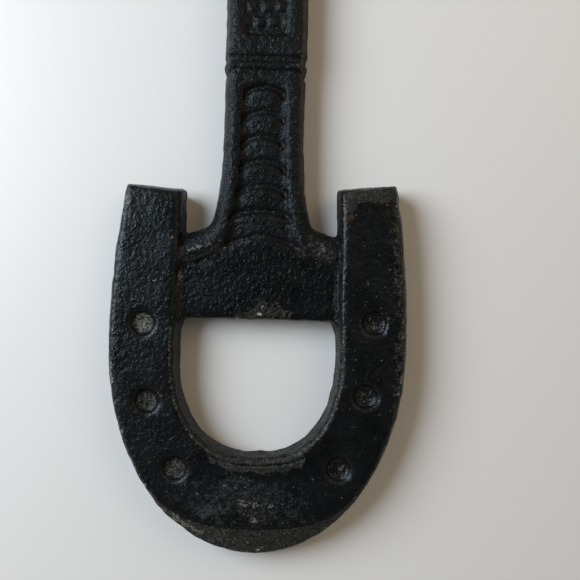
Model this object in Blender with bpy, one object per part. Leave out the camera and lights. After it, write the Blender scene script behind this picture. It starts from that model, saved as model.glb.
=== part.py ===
"""Cast-iron fire hydrant wrench: a horseshoe head, a flat ribbed handle and a pentagon socket ring.

The tool lies flat. X is its width, +Y runs from the horseshoe's toe to the socket ring, and +Z is
up out of the surface it rests on. The origin is at the middle of the base of its bounding box.
The casting is the same above and below its parting plane, which is at half of the head's
thickness, so heights below are given as distances from that plane.
"""

import math

import bmesh
import bpy
from mathutils import Vector

# Overall
LENGTH = 0.400
HEAD_THICKNESS = 0.0150
PARTING_Z = HEAD_THICKNESS / 2
TOE_Y = -LENGTH / 2
GAP = 0.0003  # clearance left between neighbouring solids
SMOOTH_ANGLE = math.radians(35)  # edges sharper than this stay crisp
MITRE_LIMIT = 0.4  # keeps the inset of a sharp corner short
CORNER_STATIONS = 4

# Horseshoe head
HEAD_HALF_WIDTH = 0.0594
HEAD_WIDEST_Y = TOE_Y + 0.0822
ARM_ELLIPSE_LENGTH = 0.1524
ARM_LENGTHS = {-1: (0.1464, 0.1446), 1: (0.1485, 0.1463)}  # side: toe to the tip's outer, inner corner
TIP_Y = TOE_Y + 0.1444
EYE_HALF_WIDTH = 0.0314
EYE_WIDEST_Y = TOE_Y + 0.0814
EYE_BOTTOM_DEPTH = 0.0410
EYE_POWER = 2.4
EYE_HALF_WIDTH_AT_TIP = 0.0302
ARM_STATIONS = 9
TOE_STATIONS = 40

# Draft of the head's walls: (distance from the parting plane, outer inset, inner inset)
HEAD_WALL = ((0.0, 0.0, 0.0), (0.0056, 0.0010, 0.0015), (HEAD_THICKNESS / 2, 0.0022, 0.0027))
TOE_BEVEL_WIDTH = 0.0094
TOE_BEVEL_DROP = 0.0024
TOE_BEVEL_ANGLE = math.radians(46)

# Nail recesses, as (x, y) from the toe's end, with the small offsets of a hand-set pattern
RECESS_RADIUS = 0.0057
RECESS_FLOOR_RADIUS = 0.0043
RECESS_DEPTH = 0.0023
RECESS_STATIONS = 18
RECESSES = (
    (-0.0453, 0.0912),
    (-0.0430, 0.0607),
    (-0.0310, 0.0344),
    (0.0459, 0.0938),
    (0.0431, 0.0648),
    (0.0332, 0.0360),
)

# Web plate between the arms
WEB_EDGE_Y = TOE_Y + 0.0938
WEB_CREST_Y = TOE_Y + 0.1262
WEB_CORNER_RADIUS = 0.0028
WEB_SIDE_HEIGHT = 0.011  # how far below the crest the arch meets the arms
WEB_ARCH_SLOPE = 0.447
WEB_ARCH_ROUNDING = 0.006
ARCH_STATIONS = 24
WEB_LEVELS = ((0.0, 0.0), (0.0033, 0.0003), (0.0042, 0.0012))  # (height, inset)
ARCH_CLEARANCE = 1.1 * GAP  # between the web's arch and the shank

# Shank
SHANK_TOP_Y = TOE_Y + 0.1925
FLOOR_HEIGHT_TOP = 0.0046
FLOOR_HEIGHT_WEB = 0.0035
BAND_LENGTH = 0.0066
BAND_HEIGHT = 0.0060
BAND_OVERHANG = 0.0012  # how far the band runs in under each rib
BAND_HOLLOW = 0.0034
BAND_STATIONS = 12

# The shank's ribs, which follow a path that runs down, bends outwards and meets the arm
RIB_X = 0.0122
RIB_HEIGHT = 0.0064
RIB_HEIGHT_LOSS = 0.12  # share of the height that is lost towards the arm
RIB_INNER_WIDTH = 0.0044
RIB_INNER_WIDTH_AT_ARM = 0.0036
RIB_OUTER_WIDTH = 0.0038
RIB_OUTER_WIDTH_AT_ARM = 0.0079
RIB_SPREAD = 0.0029  # how far the path moves outwards before it bends
RIB_SPREAD_START = 0.45
RIB_FLARE_START = 0.80
RIB_FLARE_AT_BEND = 0.165
RIB_FLARE_RATE = 1.13  # gained over the bend, where it stops at 1
RIB_FLARE_AT_ARM = 0.90
RIB_BEND_START_Y = TOE_Y + 0.1321
RIB_BEND_RADIUS = 0.0110
RIB_BEND_ANGLE = math.radians(70)
RIB_STATIONS = 9
RIB_CREST = (  # (offset as a share of that side's width, share of the height), foot to foot
    (-1.00, 0.00),
    (-1.00, 0.55),
    (-0.78, 0.92),
    (-0.48, 1.00),
    (0.12, 1.00),
    (0.40, 0.91),
    (0.78, 0.50),
    (1.00, 0.00),
)

# Overlapping domed scales on the shank
SCALE_PITCH = 0.0098
SCALE_FIRST_CREST_Y = TOE_Y + 0.1862
SCALE_HALF_WIDTHS = (0.0068, 0.0070, 0.0073, 0.0079, 0.0090, 0.0112)
SCALE_STEP = 0.0017
SCALE_SAG = 0.0040
SCALE_DOME = ((0.0, 0.15), (0.0011, 0.75), (0.0026, 1.0))  # (inset, share of the step)
SCALE_LIFT = 0.00005  # keeps a scale's thin end just clear of the floor
SCALE_STATIONS = 14

# Handle: a bar whose sides lean in from the parting plane
HANDLE_HALF_WIDTH = 0.0161
HANDLE_HALF_THICKNESS = 0.0068
SIDE_LEAN = (  # (inset, share of the height)
    (0.0, 0.0),
    (0.0008, 0.42),
    (0.0018, 0.84),
    (0.0024, 0.95),
    (0.0033, 1.0),
)

# Collars: two beads round the bar with a sunken band between, as (share of length, lift in ridges)
COLLAR_LENGTH = 0.0072
COLLAR_RIDGE = 0.0008
COLLAR_SIDE_SHARE = 0.6
COLLAR_SIDE = ((0.0, 0.0), (0.08, 0.0), (0.13, 0.5), (0.18, 0.8), (0.23, 0.5), (0.31, -1.0))
COLLAR_PROFILE = COLLAR_SIDE + tuple((1 - share, lift) for share, lift in reversed(COLLAR_SIDE))

# Grip: a sunken panel on each face, with rows of pads
GRIP_LENGTH = 0.1057
PANEL_SIDE_BORDER = 0.0067
PANEL_END_BORDER = 0.0044
PANEL_DEPTH = 0.0014
PANEL_LEAN = 0.0008
PANEL_CORNER_RADIUS = 0.0022
PAD_HEIGHT = 0.0011
PAD_LEAN = 0.0007
PAD_SIZE = (0.0042, 0.0044)
PAD_PITCH = (0.0056, 0.0060)
PAD_COLUMNS = 4  # in every other row, where the outer two are half as wide; one fewer in the rest

# Neck and pentagon socket
RING_RADIUS = 0.0350
RING_CENTRE_Y = LENGTH / 2 - RING_RADIUS
RING_WALL = ((0.0, 0.0), (0.0058, 0.0008), (HEAD_THICKNESS / 2, 0.0020))  # (height, inset)
RING_STATIONS = 64
PENTAGON_POINT_TO_FLAT = 0.0381
PENTAGON_CORNER_RADIUS = 0.0016
PENTAGON_CHAMFER = 0.0012
SIDES = 5
NECK_START_INSET = 0.0010
NECK_WAIST = 0.0118
NECK_TAPER_LENGTH = 0.0075
NECK_HUG_ANGLE = math.radians(38)
NECK_WALL = ((0.0, 0.0), (0.0046, 0.0005), (0.0060, 0.0016))  # (height, inset)
NECK_STATIONS = 12

CLEAR = 0.001  # how far a cutting solid reaches past the face it cuts
PAINT = (0.013, 0.014, 0.017)
PAINT_METALLIC = 0.15
PAINT_ROUGHNESS = 0.55


def clear_scene():
    for obj in list(bpy.data.objects):
        bpy.data.objects.remove(obj, do_unlink=True)


def black_paint(name, lightness):
    material = bpy.data.materials.new(name)
    material.use_nodes = True
    shader = material.node_tree.nodes["Principled BSDF"]
    shader.inputs["Base Color"].default_value = tuple(lightness * c for c in PAINT) + (1.0,)
    shader.inputs["Metallic"].default_value = PAINT_METALLIC
    shader.inputs["Roughness"].default_value = PAINT_ROUGHNESS
    return material


def add_object(name, mesh_builder, lightness=1.0):
    mesh = bpy.data.meshes.new(name)
    bmesh.ops.recalc_face_normals(mesh_builder, faces=mesh_builder.faces)
    mesh_builder.to_mesh(mesh)
    mesh_builder.free()
    mesh.shade_smooth()
    mesh.set_sharp_from_angle(angle=SMOOTH_ANGLE)
    obj = bpy.data.objects.new(name, mesh)
    bpy.context.collection.objects.link(obj)
    mesh.materials.append(black_paint(name + "_paint", lightness))
    return obj


def helper(name, mesh_builder):
    obj = add_object(name, mesh_builder)
    obj.hide_render = True
    obj.display_type = "WIRE"
    return obj


def combine(obj, other, operation):
    modifier = obj.modifiers.new(other.name, "BOOLEAN")
    modifier.operation = operation
    modifier.solver = "EXACT"
    modifier.object = other


def skin_rings(builder, rings):
    """Joins closed rings of equally many points with quads, and closes both ends."""
    made = [[builder.verts.new(point) for point in ring] for ring in rings]
    count = len(made[0])
    for low, high in zip(made, made[1:]):
        for i in range(count):
            j = (i + 1) % count
            builder.faces.new((low[i], low[j], high[j], high[i]))
    builder.faces.new(made[0])
    builder.faces.new(made[-1])


def mirrored_stack(levels):
    """A closed solid from outlines above the parting plane, repeated below it.

    levels runs from the parting plane outwards. Each level is a list of (x, y, height).
    """
    above = [[(x, y, PARTING_Z + h) for x, y, h in level] for level in levels]
    below = [[(x, y, PARTING_Z - h) for x, y, h in level] for level in levels[:0:-1]]
    builder = bmesh.new()
    skin_rings(builder, below + above)
    return builder


def raise_outline(outline, height):
    return [(x, y, height) for x, y in outline]


def inset_outline(outline, distance):
    """The outline moved inwards, each corner along its mitre. The outline runs anticlockwise."""
    count = len(outline)
    moved = []
    for i, (x, y) in enumerate(outline):
        before = Vector(outline[i - 1])
        here = Vector((x, y))
        after = Vector(outline[(i + 1) % count])
        first = (here - before).normalized()
        second = (after - here).normalized()
        mitre = Vector((-first.y - second.y, first.x + second.x)).normalized()
        stretch = max(MITRE_LIMIT, mitre.dot(Vector((-second.y, second.x))))
        moved.append(tuple(here + mitre * distance / stretch))
    return moved


# ---- horseshoe head ----


def outer_half_width(y):
    """Half width of the head's outer edge beside and above its widest line."""
    return HEAD_HALF_WIDTH * math.sqrt(1 - ((y - HEAD_WIDEST_Y) / ARM_ELLIPSE_LENGTH) ** 2)


def eye_half_width(y):
    """Half width between the arms, above the eye's widest line."""
    along = (y - EYE_WIDEST_Y) / (TIP_Y - EYE_WIDEST_Y)
    return EYE_HALF_WIDTH + (EYE_HALF_WIDTH_AT_TIP - EYE_HALF_WIDTH) * along


def signed_power(value, power):
    return math.copysign(abs(value) ** power, value)


def toe_bevel(angle_from_toe):
    """1 at the middle of the toe, falling to 0 where the bevel runs out."""
    share = min(1.0, abs(angle_from_toe) / TOE_BEVEL_ANGLE)
    return (1 - share**2) ** 2


def head_outline(height, outer_inset, inner_inset, is_face):
    """The horseshoe's outline at one height, anticlockwise from the left arm's outer tip."""
    points = []

    def arm_outer(side, share):
        tip = TOE_Y + ARM_LENGTHS[side][0] - outer_inset
        y = HEAD_WIDEST_Y + (tip - HEAD_WIDEST_Y) * share
        return side * (outer_half_width(y) - outer_inset), y, height

    def arm_inner(side, share):
        tip = TOE_Y + ARM_LENGTHS[side][1] - outer_inset
        y = EYE_WIDEST_Y + (tip - EYE_WIDEST_Y) * share
        return side * (eye_half_width(y) + inner_inset), y, height

    shares = [i / ARM_STATIONS for i in range(1, ARM_STATIONS + 1)]
    points += [arm_outer(-1, share) for share in reversed(shares)]
    for i in range(TOE_STATIONS + 1):
        angle = math.pi + math.pi * i / TOE_STATIONS
        bevel = toe_bevel(angle - 1.5 * math.pi)
        across = math.cos(angle)
        down = math.sin(angle)
        normal = Vector((across / HEAD_HALF_WIDTH, down / (HEAD_WIDEST_Y - TOE_Y))).normalized()
        inset = outer_inset + (TOE_BEVEL_WIDTH * bevel if is_face else 0)
        drop = 0 if is_face or height == 0 else TOE_BEVEL_DROP * bevel
        x = HEAD_HALF_WIDTH * across - normal.x * inset
        y = HEAD_WIDEST_Y + (HEAD_WIDEST_Y - TOE_Y) * down - normal.y * inset
        points.append((x, y, height - drop))
    points += [arm_outer(1, share) for share in shares]
    points += [arm_inner(1, share) for share in reversed(shares)]
    for i in range(TOE_STATIONS + 1):
        angle = -math.pi * i / TOE_STATIONS
        across = math.cos(angle)
        down = math.sin(angle)
        x = (EYE_HALF_WIDTH + inner_inset) * signed_power(across, 2 / EYE_POWER)
        y = EYE_WIDEST_Y + (EYE_BOTTOM_DEPTH + inner_inset) * signed_power(down, 2 / EYE_POWER)
        points.append((x, y, height))
    points += [arm_inner(-1, share) for share in shares]
    return points


def nail_recess(name, x, y, side):
    """A shallow cone that cuts one face of the head. side is 1 for the top and -1 for the base."""
    widen = (RECESS_RADIUS - RECESS_FLOOR_RADIUS) / RECESS_DEPTH
    builder = bmesh.new()
    rings = []
    turn = [2 * math.pi * i / RECESS_STATIONS for i in range(RECESS_STATIONS)]
    for depth in (RECESS_DEPTH, -CLEAR):
        radius = RECESS_RADIUS - widen * depth
        z = PARTING_Z + side * (HEAD_THICKNESS / 2 - depth)
        rings.append([(x + radius * math.cos(a), y + radius * math.sin(a), z) for a in turn])
    skin_rings(builder, rings)
    return helper(name, builder)


def make_horseshoe():
    last = len(HEAD_WALL) - 1
    levels = [head_outline(h, outer, inner, i == last) for i, (h, outer, inner) in enumerate(HEAD_WALL)]
    head = add_object("horseshoe_head", mirrored_stack(levels))
    for i, (x, up) in enumerate(RECESSES):
        for side, word in ((1, "top"), (-1, "base")):
            combine(head, nail_recess(f"recess_{word}_{i}", x, TOE_Y + up, side), "DIFFERENCE")
    return head


# ---- web plate ----


def arch_drop(x):
    """How far the web's arched top edge has fallen at x from its crest."""
    return WEB_ARCH_SLOPE * (math.hypot(x, WEB_ARCH_ROUNDING) - WEB_ARCH_ROUNDING)


def arch_line(reach, crest_y):
    """Points along the arch from x = reach to x = -reach."""
    xs = [reach * (1 - 2 * i / ARCH_STATIONS) for i in range(ARCH_STATIONS + 1)]
    return [(x, crest_y - arch_drop(x)) for x in xs]


def web_outline():
    """Anticlockwise from the lower left corner, where the straight edge turns down into the arm."""
    corner_y = WEB_EDGE_Y - WEB_CORNER_RADIUS
    side_x = eye_half_width(corner_y) - GAP
    right_corner = []
    for i in range(CORNER_STATIONS + 1):
        turn = math.pi / 2 * i / CORNER_STATIONS
        x = side_x - WEB_CORNER_RADIUS * (1 - math.sin(turn))
        right_corner.append((x, WEB_EDGE_Y - WEB_CORNER_RADIUS * (1 - math.cos(turn))))
    points = [(-x, y) for x, y in reversed(right_corner)] + right_corner
    return points + arch_line(eye_half_width(WEB_CREST_Y - WEB_SIDE_HEIGHT) - GAP, WEB_CREST_Y)


def make_web():
    outline = web_outline()
    levels = [raise_outline(inset_outline(outline, inset), h) for h, inset in WEB_LEVELS]
    return add_object("web_plate", mirrored_stack(levels), 1.05)


# ---- shank ----


def rib_path():
    """(x, y, heading, flare) along the right rib, from the collar down and out to the arm."""
    path = []
    for i in range(RIB_STATIONS):
        share = i / RIB_STATIONS
        y = SHANK_TOP_Y + (RIB_BEND_START_Y - SHANK_TOP_Y) * share
        spread = RIB_SPREAD * max(0.0, (share - RIB_SPREAD_START) / (1 - RIB_SPREAD_START)) ** 2
        flare = RIB_FLARE_AT_BEND * max(0.0, (share - RIB_FLARE_START) / (1 - RIB_FLARE_START))
        path.append((RIB_X + spread, y, -math.pi / 2, flare))
    centre_x = RIB_X + RIB_SPREAD + RIB_BEND_RADIUS
    for i in range(RIB_STATIONS):
        share = i / (RIB_STATIONS - 1)
        turn = RIB_BEND_ANGLE * share
        x = centre_x - RIB_BEND_RADIUS * math.cos(turn)
        y = RIB_BEND_START_Y - RIB_BEND_RADIUS * math.sin(turn)
        flare = min(1.0, RIB_FLARE_AT_BEND + RIB_FLARE_RATE * share)
        path.append((x, y, turn - math.pi / 2, flare))
    x, y, heading, flare = path[-1]
    run = eye_half_width(y) - GAP - x
    path.append((x + run, y + run * math.tan(heading), heading, RIB_FLARE_AT_ARM))
    return path


def rib_section(flare):
    """The rib across its path, as (outward offset, height) from its inner foot to its outer foot."""
    inner = RIB_INNER_WIDTH + (RIB_INNER_WIDTH_AT_ARM - RIB_INNER_WIDTH) * flare
    outer = RIB_OUTER_WIDTH + (RIB_OUTER_WIDTH_AT_ARM - RIB_OUTER_WIDTH) * flare
    height = RIB_HEIGHT * (1 - RIB_HEIGHT_LOSS * flare)
    return [(across * (inner if across < 0 else outer), height * up) for across, up in RIB_CREST]


def make_rib(side):
    """The rib's solid. side is 1 for the right rib and -1 for the left."""
    rings = []
    path = rib_path()
    for x, y, heading, flare in path:
        if (x, y) == path[-1][:2]:
            across = Vector((0, 1)) / math.cos(heading)
        else:
            across = Vector((-math.sin(heading), math.cos(heading)))
        section = rib_section(flare)
        mirrored = [(offset, -height) for offset, height in section[-2:0:-1]]
        ring = []
        for offset, height in section + mirrored:
            ring.append((side * (x + across.x * offset), y + across.y * offset, PARTING_Z + height))
        rings.append(ring)
    builder = bmesh.new()
    skin_rings(builder, rings)
    return builder


def floor_height(y):
    """Height of the shank's sunken floor above the parting plane, falling towards the web."""
    slope = (FLOOR_HEIGHT_TOP - FLOOR_HEIGHT_WEB) / (SHANK_TOP_Y - WEB_CREST_Y)
    return FLOOR_HEIGHT_WEB + slope * (y - WEB_CREST_Y)


def shank_floor():
    """The plate between the ribs, from the collar to below the web's arch."""
    path = rib_path()
    right = [(x, y) for x, y, _, _ in reversed(path)]
    arm_x, arm_y = right[0]
    low_y = WEB_CREST_Y - arch_drop(arm_x) - CLEAR
    outline = [(-arm_x, low_y), (arm_x, low_y)] + right + [(-x, y) for x, y in reversed(right)]
    face = [(x, y, floor_height(y)) for x, y in outline]
    return mirrored_stack([raise_outline(outline, 0.0), face])


def below_arch():
    """The space that the web plate fills, with its clearance."""
    reach = EYE_HALF_WIDTH + CLEAR
    arch = arch_line(reach, WEB_CREST_Y + ARCH_CLEARANCE)
    outline = [(-reach, WEB_EDGE_Y), (reach, WEB_EDGE_Y)] + arch
    return mirrored_stack([raise_outline(outline, 0.0), raise_outline(outline, HEAD_THICKNESS)])


def shank_band():
    """The full-width band that closes the top of the shank's panel, with a hollow lower edge."""
    half = RIB_X + BAND_OVERHANG
    low_y = SHANK_TOP_Y - BAND_LENGTH
    steps = [half * (2 * i / BAND_STATIONS - 1) for i in range(BAND_STATIONS + 1)]
    lower = [(x, low_y - BAND_HOLLOW * (x / half) ** 2) for x in steps]
    outline = lower + [(half, SHANK_TOP_Y), (-half, SHANK_TOP_Y)]
    return mirrored_stack([raise_outline(outline, 0.0), raise_outline(outline, BAND_HEIGHT)])


def shank_scale(crest_y, half_width):
    """One scale: a domed, arched tongue whose face falls away from its crest to the next scale's."""
    arc = [math.pi * i / SCALE_STATIONS for i in range(SCALE_STATIONS + 1)]
    arch = [(half_width * math.cos(a), crest_y - SCALE_SAG * (1 - math.sin(a))) for a in arc]
    end_y = crest_y - SCALE_PITCH - SCALE_SAG
    outline = [(-half_width, end_y), (half_width, end_y)] + arch
    levels = [raise_outline(outline, 0.0)]
    for inset, step_share in SCALE_DOME:
        level = []
        for x, y in inset_outline(outline, inset):
            fall = (y - end_y) / (crest_y - end_y)
            level.append((x, y, floor_height(y) + SCALE_STEP * step_share * fall + SCALE_LIFT))
        levels.append(level)
    return mirrored_stack(levels)


def make_shank():
    shank = add_object("shank", shank_floor(), 1.1)
    combine(shank, helper("rib_right", make_rib(1)), "UNION")
    combine(shank, helper("rib_left", make_rib(-1)), "UNION")
    combine(shank, helper("band", shank_band()), "UNION")
    for i, half_width in enumerate(SCALE_HALF_WIDTHS):
        crest = SCALE_FIRST_CREST_Y - SCALE_PITCH * i
        combine(shank, helper(f"scale_{i + 1}", shank_scale(crest, half_width)), "UNION")
    combine(shank, helper("arch_space", below_arch()), "DIFFERENCE")
    return shank


# ---- handle ----


def bar_section(y, half_width, half_height):
    """A bar's cross-section at y, with sides that lean in from the parting plane."""
    right = [(half_width - inset, half_height * share) for inset, share in SIDE_LEAN]
    above = right + [(-x, h) for x, h in reversed(right)]
    below = [(x, -h) for x, h in reversed(above[1:-1])]
    return [(x, y, PARTING_Z + h) for x, h in above + below]


def bar(stations):
    builder = bmesh.new()
    skin_rings(builder, [bar_section(*station) for station in stations])
    return builder


def make_collar(name, low_y):
    """A short collar with two raised beads round it and a sunken band between them."""
    stations = []
    for share, lift in COLLAR_PROFILE:
        half_width = HANDLE_HALF_WIDTH + COLLAR_SIDE_SHARE * lift * COLLAR_RIDGE
        half_height = HANDLE_HALF_THICKNESS + lift * COLLAR_RIDGE
        stations.append((low_y + COLLAR_LENGTH * share, half_width, half_height))
    return add_object(name, bar(stations), 0.95)


def panel_cutter(low_y, high_y, side):
    """A block that sinks one face of the grip inside its border, with rounded corners."""
    half = HANDLE_HALF_WIDTH - PANEL_SIDE_BORDER
    radius = PANEL_CORNER_RADIUS
    outline = []
    for quarter, (across, along) in enumerate(((1, 1), (-1, 1), (-1, -1), (1, -1))):
        centre_x = across * (half - radius)
        centre_y = high_y - radius if along > 0 else low_y + radius
        for i in range(CORNER_STATIONS + 1):
            angle = math.pi / 2 * (quarter + i / CORNER_STATIONS)
            outline.append((centre_x + radius * math.cos(angle), centre_y + radius * math.sin(angle)))
    floor_z = PARTING_Z + side * (HANDLE_HALF_THICKNESS - PANEL_DEPTH)
    mouth_z = PARTING_Z + side * (HANDLE_HALF_THICKNESS + CLEAR)
    builder = bmesh.new()
    skin_rings(builder, [
        [(x, y, floor_z) for x, y in inset_outline(outline, PANEL_LEAN)],
        [(x, y, mouth_z) for x, y in outline],
    ])
    return builder


def pad_places(low_y, high_y):
    """(x, y, half width) of each pad, every other row moved half a pitch across."""
    across, along = PAD_PITCH
    half_width = PAD_SIZE[0] / 2
    rows = int((high_y - low_y - 2 * PANEL_LEAN) / along)
    places = []
    for row in range(rows):
        y = (low_y + high_y) / 2 + along * (row - (rows - 1) / 2)
        columns = PAD_COLUMNS - row % 2
        for column in range(columns):
            x = (column - (columns - 1) / 2) * across
            if columns == PAD_COLUMNS and column in (0, columns - 1):
                places.append((x - math.copysign(half_width / 2, x), y, half_width / 2))
            else:
                places.append((x, y, half_width))
    return places


def grip_pads(low_y, high_y, side):
    builder = bmesh.new()
    root = HANDLE_HALF_THICKNESS - PANEL_DEPTH - CLEAR
    crown = HANDLE_HALF_THICKNESS - PANEL_DEPTH + PAD_HEIGHT
    for x, y, half_x in pad_places(low_y, high_y):
        rings = []
        for height, shrink in ((root, 0.0), (crown, PAD_LEAN)):
            half_y = PAD_SIZE[1] / 2 - shrink
            corners = ((1, 1), (-1, 1), (-1, -1), (1, -1))
            z = PARTING_Z + side * height
            rings.append([(x + i * (half_x - shrink), y + j * half_y, z) for i, j in corners])
        skin_rings(builder, rings)
    return builder


def make_grip(low_y):
    high_y = low_y + GRIP_LENGTH
    ends = [(y, HANDLE_HALF_WIDTH, HANDLE_HALF_THICKNESS) for y in (low_y, high_y)]
    grip = add_object("grip", bar(ends))
    panel = (low_y + PANEL_END_BORDER, high_y - PANEL_END_BORDER)
    for side, word in ((1, "top"), (-1, "base")):
        combine(grip, helper(f"panel_{word}", panel_cutter(*panel, side)), "DIFFERENCE")
        combine(grip, helper(f"pads_{word}", grip_pads(*panel, side)), "UNION")
    return grip


# ---- neck and socket ring ----


def neck_outline(low_y, narrowing):
    """Anticlockwise: the right side up to the ring, the hollow end that hugs it, the left side down."""
    reach = RING_RADIUS + GAP
    end_x = reach * math.sin(NECK_HUG_ANGLE) - narrowing
    hug_angle = math.asin(end_x / reach)
    end_y = RING_CENTRE_Y - reach * math.cos(hug_angle)
    start_x = HANDLE_HALF_WIDTH - NECK_START_INSET - narrowing
    waist_x = NECK_WAIST - narrowing
    waist_y = low_y + NECK_TAPER_LENGTH
    side = []
    for i in range(NECK_STATIONS + 1):
        y = low_y + (end_y - low_y) * i / NECK_STATIONS
        if y < waist_y:
            side.append((waist_x + (start_x - waist_x) * ((waist_y - y) / NECK_TAPER_LENGTH) ** 2, y))
        else:
            side.append((waist_x + (end_x - waist_x) * ((y - waist_y) / (end_y - waist_y)) ** 2, y))
    hug = [hug_angle * (1 - 2 * i / NECK_STATIONS) for i in range(1, NECK_STATIONS)]
    end = [(reach * math.sin(a), RING_CENTRE_Y - reach * math.cos(a)) for a in hug]
    return side + end + [(-x, y) for x, y in reversed(side)]


def make_neck(low_y):
    """Tapers from the collar to a waist, then flares to hug the socket ring."""
    shells = [raise_outline(neck_outline(low_y, narrowing), height) for height, narrowing in NECK_WALL]
    return add_object("neck", mirrored_stack(shells), 1.05)


def ring_outline(radius):
    turn = [2 * math.pi * i / RING_STATIONS for i in range(RING_STATIONS)]
    return [(radius * math.cos(a), RING_CENTRE_Y + radius * math.sin(a)) for a in turn]


def pentagon(grow):
    """The socket's outline with soft corners, a point towards the tool's end. grow widens its corners."""
    half_side = math.pi / SIDES
    corner_radius = PENTAGON_POINT_TO_FLAT / (1 + math.cos(half_side)) + grow
    centre = corner_radius - PENTAGON_CORNER_RADIUS / math.cos(half_side)
    points = []
    for i in range(SIDES):
        aim = math.pi / 2 + 2 * half_side * i
        for j in range(CORNER_STATIONS + 1):
            spread = aim + half_side * (2 * j / CORNER_STATIONS - 1)
            x = centre * math.cos(aim) + PENTAGON_CORNER_RADIUS * math.cos(spread)
            y = centre * math.sin(aim) + PENTAGON_CORNER_RADIUS * math.sin(spread)
            points.append((x, RING_CENTRE_Y + y))
    return points


def make_socket():
    """A drafted ring with a straight-sided pentagon hole, chamfered at its mouths."""
    levels = [raise_outline(ring_outline(RING_RADIUS - inset), height) for height, inset in RING_WALL]
    ring = add_object("pentagon_socket", mirrored_stack(levels), 0.95)
    half = HEAD_THICKNESS / 2
    hole = mirrored_stack([
        raise_outline(pentagon(0.0), 0.0),
        raise_outline(pentagon(0.0), half - PENTAGON_CHAMFER),
        raise_outline(pentagon(PENTAGON_CHAMFER), half),
        raise_outline(pentagon(PENTAGON_CHAMFER), half + CLEAR),
    ])
    combine(ring, helper("pentagon_hole", hole), "DIFFERENCE")
    return ring


def main():
    clear_scene()
    make_horseshoe()
    make_web()
    make_shank()
    collar_y = SHANK_TOP_Y + GAP
    make_collar("lower_collar", collar_y)
    grip_y = collar_y + COLLAR_LENGTH + GAP
    make_grip(grip_y)
    upper_collar_y = grip_y + GRIP_LENGTH + GAP
    make_collar("upper_collar", upper_collar_y)
    make_neck(upper_collar_y + COLLAR_LENGTH + GAP)
    make_socket()


main()
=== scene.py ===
"""The looks of a cast-iron fire hydrant wrench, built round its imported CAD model.

The eight CAD solids are one casting, so their distance fields are joined here into one field:
the 0.3 mm gaps close, the meeting corners fill with cast fillets, and the skin gets the lumps,
pits and worn edges of sand-cast iron. Each node's own share of that skin is then meshed as its
own closed piece. Lengths are in metres, in the row frame, unless a comment says mm.
"""

import math

import bpy
import numpy as np
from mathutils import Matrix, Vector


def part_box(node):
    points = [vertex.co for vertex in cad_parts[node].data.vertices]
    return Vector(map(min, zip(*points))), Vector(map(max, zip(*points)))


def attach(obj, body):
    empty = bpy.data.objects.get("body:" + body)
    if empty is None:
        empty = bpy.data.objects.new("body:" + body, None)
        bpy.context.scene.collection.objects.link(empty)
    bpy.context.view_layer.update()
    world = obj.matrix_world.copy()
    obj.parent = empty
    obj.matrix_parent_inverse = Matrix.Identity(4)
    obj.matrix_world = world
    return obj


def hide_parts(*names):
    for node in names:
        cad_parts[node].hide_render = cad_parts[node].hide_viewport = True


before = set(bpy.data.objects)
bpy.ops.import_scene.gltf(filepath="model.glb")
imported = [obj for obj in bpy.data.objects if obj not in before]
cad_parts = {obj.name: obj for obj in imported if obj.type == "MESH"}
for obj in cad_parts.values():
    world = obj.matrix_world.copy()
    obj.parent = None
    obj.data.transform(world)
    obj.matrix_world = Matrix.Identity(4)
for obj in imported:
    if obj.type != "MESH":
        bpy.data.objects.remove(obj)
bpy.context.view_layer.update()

import openvdb

MM = 0.001

# The distance field
VOXEL = 0.56 * MM
BAND_VOXELS = 7
BAND = BAND_VOXELS * VOXEL
PAD = BAND_VOXELS + 2
GAP_CLOSING = 0.16 * MM
WIDE_FILLET = 3.0 * MM
NARROW_FILLET = 1.1 * MM
WEB_FILLET = 1.6 * MM
SHANK_SOFTNESS = 1.5  # voxels
SHANK_OVERRUN = 0.5 * MM
EDGE_ROUNDING = 0.95  # voxels
CURVATURE_REACH = 2.6  # voxels

# How far a piece runs on under its neighbour, and how steeply it dives there
OVERLAP = 1.2 * MM
DIVE = 0.45

# The head's outlines: the outer and the eye's lower halves are ellipse-like about these lines
HEAD_HALF_WIDTH = 59.4 * MM
HEAD_WIDEST_Y = -117.8 * MM
HEAD_TOE_DEPTH = 82.2 * MM
ARM_ELLIPSE_LENGTH = 152.4 * MM
EYE_HALF_WIDTH = 34.1 * MM
EYE_WIDEST_Y = -118.6 * MM
EYE_DEPTH = 43.7 * MM
EYE_POWER = 2.4
EYE_CURVE_TOP = EYE_WIDEST_Y - 25 * MM  # the strip and the crease under the eye lie below this
TOE_BEVEL_WIDTH = 9.4 * MM
TOE_BEVEL_ANGLE = math.radians(46)
TOE_FACE_INSET = 2.2 * MM
SMALLEST_RADIUS = 0.05  # keeps divisions finite at an outline's centre

# Layers of noise: height, wavelength in mm, seed. Heights of relief are in mm
SKIN_LAYERS = ((0.05, 1.7, 3), (0.07, 3.6, 4), (0.16, 12, 5))
WALL_LAYERS = ((0.26, 6.5, 8), (0.16, 3.0, 9))
RAGGED_LAYERS = ((1, 2.6, 22), (0.5, 1.2, 23))
SKIN_LOSS = 0.10
PIT_DEPTH = 0.14
EDGE_LOSS = 0.08
EDGE_CHIP_DEPTH = 0.35
WALL_GAIN = 0.28
SEAM_HEIGHT = 0.26
SEAM_HALF_WIDTH = 0.45
SEAM_WANDER = 0.5
RELIEF_VOXELS = 3  # how far from the surface the field is changed

# The creases along the eye's lower edge and along the toe's bevel
CREASE_DEPTH = 0.40  # mm
CREASE_WANDER = 0.5 * MM
CREASE_FACE_HEIGHT = 5.0 * MM
EYE_CREASE_OFFSET = 1.2
EYE_CREASE_DRIFT = 1.3
EYE_CREASE_WIDTH = 0.42 * MM
BEVEL_CREASE_SHARE = 0.8
BEVEL_CREASE_WIDTH = 0.50 * MM

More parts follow.
